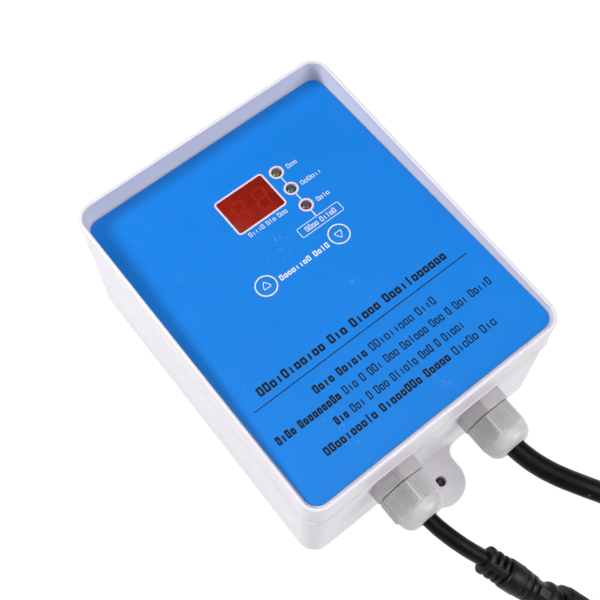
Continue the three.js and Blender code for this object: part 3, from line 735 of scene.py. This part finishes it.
def make_display(materials):
    stops = ((-1.5, 0.15), (-1.35, 0), (0.5, 0), (0.62, 0.12))
    rings = [[(x, y, z) for x, y in rounded_outline(10.65 - inset, 8 - inset, 1 - inset, 6)]
             for z, inset in stops]
    place = on_panel(DISPLAY["x"], DISPLAY["y"])
    lens = new_object("display_lens", Shape().loft(rings).moved(place), 50)
    finish_piece(lens, materials["display_lens"], "root", ("display_window",))
    digits = Shape()
    for x in (-4.8, 4.8):
        add_digit(digits, x, -0.8, 4.7, 9.4)
    ink = new_object("unlit_digits", digits.moved(place @ Matrix.Translation((0, 0, 0.61))), 20)
    finish_piece(ink, materials["dim_segments"])


def add_digit(shape, x, y, width, height):
    """The seven slanted bars of an unlit digit."""
    bars = [(0, row * height / 2, width, False) for row in (-1, 0, 1)]
    bars += [(side * width / 2, row * height / 4, height / 2, True) for side in (-1, 1) for row in (-1, 1)]
    for bx, by, length, upright in bars:
        long, thick = length / 2 - 0.2, 0.5
        tip = long - thick
        outline = [(-long, 0), (-tip, -thick), (tip, -thick), (long, 0), (tip, thick), (-tip, thick)]
        if upright:
            outline = [(-v, u) for u, v in outline]
        slanted = [(x + bx + u + 0.14 * (by + v), y + by + v) for u, v in outline]
        shape.prism(slanted, 0, 0.02)


def make_lamps(materials):
    for name, y in zip(("low", "normal", "high"), LAMP["ys"]):
        profile = [(0, -8.7), (2.08, -8.7), (2.08, -7.7), (2, -7.6), (2, -0.5)]
        profile += [(2 * math.cos(a), -0.5 + 1.15 * math.sin(a)) for a in
                    (math.radians(step) for step in range(10, 91, 10))]
        lamp = new_object(f"lamp_{name}_dome", Shape().lathe(profile, 40).moved(on_panel(LAMP["x"], y)), 50)
        finish_piece(lamp, materials[f"lamp_{name}"], "root", (f"led_{name}",))


def triangle_outline(reach, corner, turn):
    outline = []
    for i in range(3):
        angle = turn + 120 * i
        a = math.radians(angle)
        outline += arc((reach - 2 * corner) * math.cos(a), (reach - 2 * corner) * math.sin(a),
                       corner, angle - 60, angle + 60, 6)
    return outline


def make_keys(materials):
    profile = [(0, -4.2), (1.5, -4.2), (1.5, -3.9), (4.6, -3.9), (4.6, -2.9), (3, -2.9), (3, -1),
               (3.72, -1), (3.72, 0.58), (3.6, 0.66), (3.2, 0.7), (1.8, 0.75), (0, 0.77)]
    for name, side, turn in (("up", -1, 90), ("down", 1, 270)):
        place = on_panel(side * KEY["x"], KEY["y"])
        cap = new_object(f"{name}_key_cap", Shape().lathe(profile, 64).moved(place), 25)
        finish_piece(cap, materials["keypad_film"], f"{name}_key", (f"button_{name}",))
        sign = band(triangle_outline(2.35, 0.5, turn), triangle_outline(1.75, 0.32, turn), 0.68, 0.80)
        ink = new_object(f"{name}_key_sign", sign.moved(place), 20)
        finish_piece(ink, materials["white_ink"], f"{name}_key")


# ---------- cable glands ----------
def hex_reach(angle, flats, corner, turn, across=lambda u: 0.0):
    """Distance from the axis to a hexagon with rounded corners; across(u) sinks its flats."""
    off = (angle - turn) % (TAU / 6) - TAU / 12
    flat = flats / 2
    return soft_min((flat - across(flat * math.tan(off))) / math.cos(off), corner)


def ring_of(reach, z, steps):
    """A ring whose radius is a function of the angle."""
    angles = [TAU * i / steps for i in range(steps)]
    return [(reach(a) * math.cos(a), reach(a) * math.sin(a), z) for a in angles]


def rib(across):
    """Depth of the fine grooves on a nut's flat, at a place across it."""
    if abs(across) > 5:
        return 0.0
    return 0.36 * max(0.0, math.cos(TAU * across / 0.667)) ** 1.5


NUT_LIMITS = [
    # z and the largest radius there
    (5.5, 10.1), (5.7, 10.5), (6, 10.9), (6.6, 11.1), (9, 11.1), (12, 11.1), (13.6, 11.1), (13.9, 10.85),
    (14.3, 10.4), (14.7, 9.95), (15.1, 9.55), (15.3, 9.4), (15.6, 9.32), (16.2, 9.28), (17, 9.14),
    (17.8, 8.86), (18.5, 8.46), (19.1, 7.98), (19.6, 7.42), (20, 6.86), (20.3, 6.3), (20.5, 5.8),
]


def nut_shape(mouth, turn, steps=540):
    flats = GLAND["flats"] + 0.2
    rings = []
    for z, limit in NUT_LIMITS:
        rings.append(ring_of(lambda a: soft_min(hex_reach(a, flats, 10.8, turn, rib), limit), z, steps))
    for radius, z in ((mouth + 0.35, 20.6), (mouth + 0.1, 20.5), (mouth, 20.2), (mouth, 17), (6.6, 17),
                      (GLAND["thread"] + 0.35, 13), (GLAND["thread"] + 0.35, 5.5)):
        rings.append(circle(radius, z, steps))
    return Shape().loft(rings, loop=True)


def flange_shape(turn, steps=180):
    stops = ((-0.35, 0.05), (0.4, 0), (1.1, 0), (4.6, 0), (4.95, 0.1), (5.15, 0.3), (5.2, 0.5))
    rings = []
    for z, inset in stops:
        rings.append(ring_of(lambda a: hex_reach(a, GLAND["flats"], 10.75, turn) - inset, z, steps))
    rings += [circle(4.6, z, steps) for z in (5.2, -0.35)]
    return Shape().loft(rings, loop=True)


def add_thread(shape, radius, z0, z1, bore, pitch=1.5):
    """A threaded tube, its thread drawn as closed ridges."""
    profile = [(bore, z0)]
    z = z0
    while z < z1 - pitch:
        profile += [(radius - 0.6, z), (radius, z + pitch * 0.4), (radius, z + pitch * 0.6)]
        z += pitch
    profile += [(radius - 0.6, z1), (6.6, z1), (6.6, 8), (bore, 8)]
    return shape.lathe(profile, 48, loop=True)


def blank_box(turn):
    """The raised border of an empty marking field on one flat of the flange."""
    flat = math.degrees(turn) + 90
    place = Matrix.Rotation(math.radians(flat), 4, "Z") @ Matrix.Translation((GLAND["flats"] / 2, 0, 2.85))
    border = band(rounded_outline(1.6, 3.4, 0.2, 3), rounded_outline(1.2, 3, 0.1, 3), -0.2, 0.32)
    return border.moved(place @ Matrix.Rotation(math.pi / 2, 4, "Y"))


def make_gland(materials, name, side, lead, body_turn, nut_turn):
    place = gland_frame(side)
    body = flange_shape(body_turn)
    add_thread(body, GLAND["thread"], -11, 13.6, 4.6)
    if name == "cell":
        field = blank_box(body_turn)
        body.add(field.points, field.faces)
    flange = new_object(f"{name}_gland_flange", body.moved(place), 30)
    finish_piece(flange, materials["gland_nylon"], "root", (f"gland_body_{name}",))
    nut = new_object(f"{name}_gland_cap_nut", nut_shape(lead + 0.65, nut_turn).moved(place), 50)
    finish_piece(nut, materials["gland_cap"], f"{name}_gland_nut", (f"gland_nut_{name}",))


# ---------- cell connector ----------
def connector_frame():
    turn = Vector((0, 0, 1)).rotation_difference(Vector(CONNECTOR["along"]))
    return Matrix.Translation(CONNECTOR["start"]) @ turn.to_matrix().to_4x4()


def spine_angle():
    """Direction of the strain relief's spine about the connector's axis."""
    local = connector_frame().to_3x3().inverted() @ Vector(CONNECTOR["spine"])
    return math.atan2(local.y, local.x)


def disc_profile(z0, z1, radius, edge=0.35):
    return [(0, z0), (radius - edge, z0), (radius - edge * 0.3, z0 + edge * 0.3), (radius, z0 + edge),
            (radius, z1 - edge), (radius - edge * 0.3, z1 - edge * 0.3), (radius - edge, z1), (0, z1)]


def strain_relief():
    shape = Shape().lathe([(0, 0.3), (3.15, 0.3), (3.25, 0.5), (3.25, 10.4), (0, 10.4)], 40)
    lobes = Shape()
    for z0, z1 in ((0.4, 2.4), (4.1, 5.8), (7.4, 9.0)):
        lobes.lathe(disc_profile(z0, z1, 5.5), 48)
    lobes.moved(Matrix.Diagonal((0.78, 1, 1, 1)))
    for side in (-1, 1):
        outline = moved_outline(rounded_outline(1.2, 1.4, 0.5, 4), side * 3.1, 0)
        lobes.prism(outline, 0.5, 10.6)
    lobes.moved(Matrix.Rotation(spine_angle(), 4, "Z"))
    return shape.add(lobes.points, lobes.faces)


def connector_shape():
    shape = strain_relief()
    profile = [(0, 9.9), (5.2, 9.9), (5.7, 10.3), (5.9, 10.9), (5.9, 16.4), (5.75, 16.8), (5.35, 17.0),
               (5.35, 17.2), (5.55, 17.4), (5.62, 17.9), (5.55, 19.9), (5.3, 20.2), (4.95, 20.35),
               (4.95, 20.5), (5.3, 20.7), (5.4, 21.1), (5.3, 23.0), (5.0, 23.35), (4.6, 23.5),
               (4.6, 28.3), (5.0, 28.6), (6.15, 29.2), (6.4, 29.8), (6.4, 31.4), (6.1, 32.0),
               (5.2, 32.4), (5.2, 32.9), (5.6, 33.2), (5.6, 33.7), (5.2, 34.0), (5.2, 34.4),
               (5.6, 34.7), (5.6, 35.2), (5.2, 35.5), (5.2, 48.4), (4.35, 48.4), (4.35, 36), (0, 36)]
    shape.lathe(profile, 64)
    for i in range(3):
        key = Shape().block((3.6, -1.6, 23.7), (5.35, 1.6, 28.6))
        key.moved(Matrix.Rotation(spine_angle() + math.radians(95 + 120 * i), 4, "Z"))
        shape.add(key.points, key.faces)
    return shape


def coupling_shape(steps=144):
    """A hexagonal coupling ring with a milled waist, open at the far end."""
    def reach(limit, groove):
        def radius(angle):
            notch = groove * max(0.0, math.cos(12 * angle)) ** 2
            return soft_min(hex_reach(angle, 16.4, 9.1, 0), limit) - notch
        return radius
    stops = [(35.6, 7.4, 0), (35.8, 7.9, 0), (36.6, 8.8, 0), (37.4, 9.1, 0), (38.2, 9.1, 0.45),
             (39, 9.1, 0.55), (46.6, 9.1, 0.55), (47.4, 9.1, 0.45), (48.2, 9.1, 0), (51.8, 9.1, 0),
             (52.6, 8.8, 0), (53.2, 8.2, 0)]
    rings = [ring_of(reach(limit, groove), z, steps) for z, limit, groove in stops]
    rings += [circle(radius, z, steps) for radius, z in (
        (6.9, 53.2), (6.6, 52.9), (6.6, 49), (5.6, 49), (5.6, 35.6))]
    return Shape().loft(rings, loop=True)


def make_connector(materials):
    place = connector_frame()
    body = new_object("connector_shell", connector_shape().moved(place), 38)
    finish_piece(body, materials["connector_plastic"], "root", ("cell_connector",))
    ring = new_object("coupling_nut", coupling_shape().moved(place), 35)
    finish_piece(ring, materials["connector_plastic"], "coupling_ring",
                 ("connector_ring",))
    return [body, ring, frame["nodes"]["connector_contacts"]]


# ---------- plug and tie ----------
def plug_frame():
    turn = Matrix.Rotation(PLUG["heading"], 4, "Z") @ Matrix.Rotation(math.pi / 2, 4, "Y")
    return Matrix.Translation(PLUG["tail"]) @ turn


PLUG_STOPS = [
    # distance along the plug, height, width
    (0.4, 8.4, 8.6), (0.7, 9.0, 9.2), (2.6, 9.2, 9.4), (3.0, 8.6, 8.8), (4.0, 8.6, 8.8), (4.4, 9.3, 9.8),
    (6.4, 9.5, 10.1), (6.8, 8.8, 9.4), (7.8, 8.9, 9.5), (8.2, 9.6, 10.4), (10.2, 9.8, 10.8), (10.6, 9.1, 10),
    (11.6, 9.3, 10.4), (12.2, 10.2, 11.4), (16, 10.9, 12.6), (20, 12, 14), (23, 13.6, 17), (26, 15.4, 20.5),
    (29, 16.2, 22), (34, 16.7, 23.3), (40, 17, 24), (42, 16.8, 23.8), (42.7, 16.4, 23.4), (43, 15.6, 22.6),
]


def make_plug(materials):
    rings = []
    for along, height, width in PLUG_STOPS:
        outline = rounded_outline(height / 2, width / 2, min(height, width) * 0.4, 8)
        rings.append([(x, y, along) for x, y in outline])
    shape = Shape().loft(rings)
    for side in (-1, 1):
        for i in range(5):
            ridge = Shape().block((-0.35, -7.5, 27.8), (0.35, 7.5, 28.8))
            x = side * (8.05 + 0.06 * i)
            ridge.moved(Matrix.Translation((x, 0, 2.3 * i)))
            shape.add(ridge.points, ridge.faces)
    body = new_object("plug_shell", shape.moved(plug_frame()), 30)
    finish_piece(body, materials["connector_plastic"], "root", ("power_plug",))
    return [body] + [make_blade(materials, i) for i in range(2)]


def make_blade(materials, index):
    offset = (-6.35, 6.35)[index]
    low, high = Vector((-3.2, offset - 0.75, 43.3)), Vector((3.2, offset + 0.75, 60))
    blade = bevel(new_object(f"blade_{index + 1}", Shape().block(low, high)), 0.45, 3)
    hole = [[(x, offset + depth, 55.5 + z) for x, z, _ in circle(1.5, 0, 32)] for depth in (-2, 2)]
    cut(blade, Shape().loft(hole))
    blade.data.transform(scaled_frame(plug_frame()))
    return finish_piece(blade, materials["blade_brass"], "root", (f"plug_blade_{index + 1}",))


def scaled_frame(matrix):
    """A frame given in millimetres, for points already in metres."""
    result = matrix.copy()
    result.translation = matrix.translation * MM
    return result


def make_tie(materials):
    outer = rounded_outline(TIE["reach"], TIE["height"] / 2 + 0.7, 4, 8)
    inner = rounded_outline(TIE["reach"] - 0.8, TIE["height"] / 2 - 0.1, 3.3, 8)
    half = TIE["width"] / 2
    strap = band(outer, inner, -half, half)
    head = Shape().prism(rounded_outline(2.6, 3.4, 0.6, 4), TIE["height"] / 2 + 0.2, TIE["height"] / 2 + 2.2)
    place = (Matrix.Translation((COIL["x"], COIL["y"], TIE["height"] / 2 + 0.75))
             @ Matrix.Rotation(TIE["angle"], 4, "Z") @ Matrix.Translation((TIE["middle"], 0, 0)))
    strap.moved(place @ Matrix.Rotation(math.pi / 2, 4, "X"))
    head.moved(place)
    tie = bevel(new_object("tie_strap", strap.add(head.points, head.faces)), 0.2, 2)
    return finish_piece(tie, materials["tie_plastic"], "root", ("lead_tie",))


# ---------- leads ----------
CELL_ROUTE = [
    (-21, -79, 39.5), (-21, -85, 39.5), (-21, -91.2, 39.5), (-20.9, -92.8, 39.5),
    (-20.7, -94.5, 39.5), (-20.5, -96, 39.4), (-20.1, -98, 39.25), (-19.6, -100, 39),
    (-19.05, -102, 38.6), (-18.4, -104, 38.05), (-17.65, -106, 37.35), (-16.85, -108, 36.5),
    (-15.95, -110, 35.6), (-14.95, -112, 34.5), (-14.1, -113.6, 33.55), (-13.4, -115, 32.65),
]
POWER_ROUTE = [
    (21, -79, 39.5), (21, -85, 39.5), (21, -91.2, 39.5), (21.15, -92.8, 39.5),
    (21.6, -96, 39.5), (22.5, -100, 39.4), (23.8, -104, 39.2), (25.5, -108, 38.9),
    (27.6, -112, 38.4), (30.1, -116, 37.6), (32.8, -120, 36.4), (35.7, -124, 34.8),
    (38.7, -128, 32.6), (41.6, -131.8, 30.1), (44.5, -135.4, 27.2), (47.4, -139, 24.1),
    (50.3, -142.6, 20.9), (53.2, -146.1, 17.8), (56.1, -149.5, 14.9), (59.1, -152.9, 12.2),
    (62.3, -156.4, 9.5), (65.8, -160.2, 7.3), (69.5, -164.1, 5.8), (73.4, -168.2, 4.9),
    (77.8, -172.7, 4.5),
]
POWER_END_ROUTE = [
    (-5, -249.2, 4.3), (-9.5, -243.2, 4.4), (-13.8, -236.8, 4.9), (-17.6, -230.2, 6.1),
    (-20.8, -223.6, 7.6), (-23.1, -217, 8.6), (-24.6, -210.4, 8.8),
]


def ease(value, start, stop):
    """0 before start, 1 after stop, and smooth between."""
    share = min(1.0, max(0.0, (value - start) / (stop - start)))
    return share * share * (3 - 2 * share)


COIL_START, COIL_TRAVEL = 42.8, 1935  # degrees
COIL_INWARDS = ((275, 360), (635, 720))
COIL_CLIMB = (943, 1028)
COIL_OUTWARDS = ((1218, 1303), (1578, 1663))


def coil_turns(step=15):
    """Turns inwards on the floor, a climb, and turns outwards on top of them."""
    points = []
    for travel in range(0, COIL_TRAVEL + 1, step):
        inwards = sum(ease(travel, *stretch) for stretch in COIL_INWARDS)
        outwards = sum(ease(travel, *stretch) for stretch in COIL_OUTWARDS)
        radius = COIL["radius"] - COIL["pitch"] * (inwards - outwards)
        climb = (COIL["high"] - COIL["low"]) * ease(travel, *COIL_CLIMB)
        a = math.radians(COIL_START - travel)
        points.append((COIL["x"] + radius * math.cos(a), COIL["y"] + radius * math.sin(a),
                       COIL["low"] + climb))
    return points


def coil_exit(start, finish, steps=5):
    """The lead leaves the top turn, passes outside the coil and comes down beside it."""
    reach = 1.1 * (Vector(finish[:2]) - Vector(start[:2])).length
    leave, arrive = [Vector((math.cos(a), math.sin(a))) * reach for a in
                     (math.radians(177.8), math.radians(126.9))]
    points = []
    for i in range(1, steps):
        s = i / steps
        place = ((2 * s ** 3 - 3 * s ** 2 + 1) * Vector(start[:2]) + (s ** 3 - 2 * s ** 2 + s) * leave
                 + (3 * s ** 2 - 2 * s ** 3) * Vector(finish[:2]) + (s ** 3 - s ** 2) * arrive)
        z = start[2] + (finish[2] - start[2]) * ease(s, 0.3, 1)
        points.append((place.x, place.y, z))
    return points


def make_lead(name, points, radius, material):
    curve = bpy.data.curves.new(name, "CURVE")
    curve.dimensions = "3D"
    curve.bevel_depth = radius * MM
    curve.bevel_resolution = 6
    curve.resolution_u = 6
    curve.use_fill_caps = True
    spline = curve.splines.new("BEZIER")
    spline.bezier_points.add(len(points) - 1)
    for point, place in zip(spline.bezier_points, points):
        point.co = Vector(place) * MM
        point.handle_left_type = point.handle_right_type = "AUTO"
    curve.materials.append(material)
    lead = bpy.data.objects.new(name, curve)
    bpy.context.scene.collection.objects.link(lead)
    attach(lead, "root")
    return lead


def make_leads(materials, connector_pieces, plug_pieces):
    cell = make_lead("cell_lead_curve", CELL_ROUTE, CELL_LEAD, materials["lead_jacket"])
    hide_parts("cell_lead")
    turns = coil_turns()
    route = POWER_ROUTE + turns + coil_exit(turns[-1], POWER_END_ROUTE[0]) + POWER_END_ROUTE
    power = make_lead("power_lead_curve", route, POWER_LEAD, materials["lead_jacket"])
    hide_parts("power_lead", "power_lead_coil", "power_lead_end")


# ---------- room ----------
def make_floor():
    """A table that gives off white light, so that it stays white, with painted shade where it is covered:
    its colour and light go dark where something is close above it.
    """
    graph = Graph("floor_white", (0.9, 0.9, 0.9, 1), 0.7, Specular_IOR_Level=0.1)
    open_sky = graph.add("ShaderNodeAmbientOcclusion", {"Distance": 0.005}, samples=16).outputs["AO"]
    # painted shade: ambient occlusion darkens the floor's colour and glow under the case and the leads and
    # inside the ear holes, a painted contact shadow
    bare = graph.remap(open_sky, 0.36, 0.48)
    graph.shader.inputs["Base Color"].default_value = (0.06, 0.035, 0.06, 1)
    graph.tint(bare, (0.12, 0.12, 0.12, 1))
    graph.shader.inputs["Emission Color"].default_value = (1, 1, 1, 1)
    graph.links.new(graph.math("MULTIPLY", bare, 0.93), graph.shader.inputs["Emission Strength"])
    floor = new_object("floor", Shape().prism([(-3000, -3000), (3000, -3000), (3000, 3000),
                                               (-3000, 3000)], -20, -0.02))
    floor.data.materials.append(graph.done())


def area_light(name, place, aim, size, energy, color=(1, 1, 1)):
    data = bpy.data.lights.new(name, "AREA")
    data.shape = "SQUARE"
    data.size = size
    data.energy = energy
    data.color = color
    light = bpy.data.objects.new(name, data)
    light.location = place
    light.rotation_euler = (Vector(aim) - Vector(place)).to_track_quat("-Z", "Y").to_euler()
    bpy.context.scene.collection.objects.link(light)


def make_lights():
    world = bpy.data.worlds.new("studio")
    world.use_nodes = True
    background = world.node_tree.nodes["Background"]
    background.inputs["Color"].default_value = (1.0, 1.0, 1.0, 1)
    background.inputs["Strength"].default_value = 0.24
    bpy.context.scene.world = world
    bpy.context.scene.view_settings.view_transform = "Standard"
    area_light("key", (-0.6, 0.45, 0.75), (0, 0, 0.05), 0.35, 7.8)
    area_light("fill", (0.5, -0.85, 0.6), (0, 0, 0.04), 0.7, 6)
    area_light("top", (0.1, -0.2, 1.3), (0, 0, 0), 0.9, 5.2)


materials = make_materials()
paint_cad_nodes(materials)
make_camera()
make_cover(materials)
make_case(materials)
make_film(materials)
make_black_print(materials)
make_white_print(materials)
make_frame_print(materials)
make_display(materials)
make_lamps(materials)
make_keys(materials)
make_gland(materials, "cell", -1, CELL_LEAD, 0.38, 0.5)
make_gland(materials, "power", 1, POWER_LEAD, 0.63, 0.84)
make_leads(materials, make_connector(materials), make_plug(materials) + [make_tie(materials)])
make_floor()
make_lights()
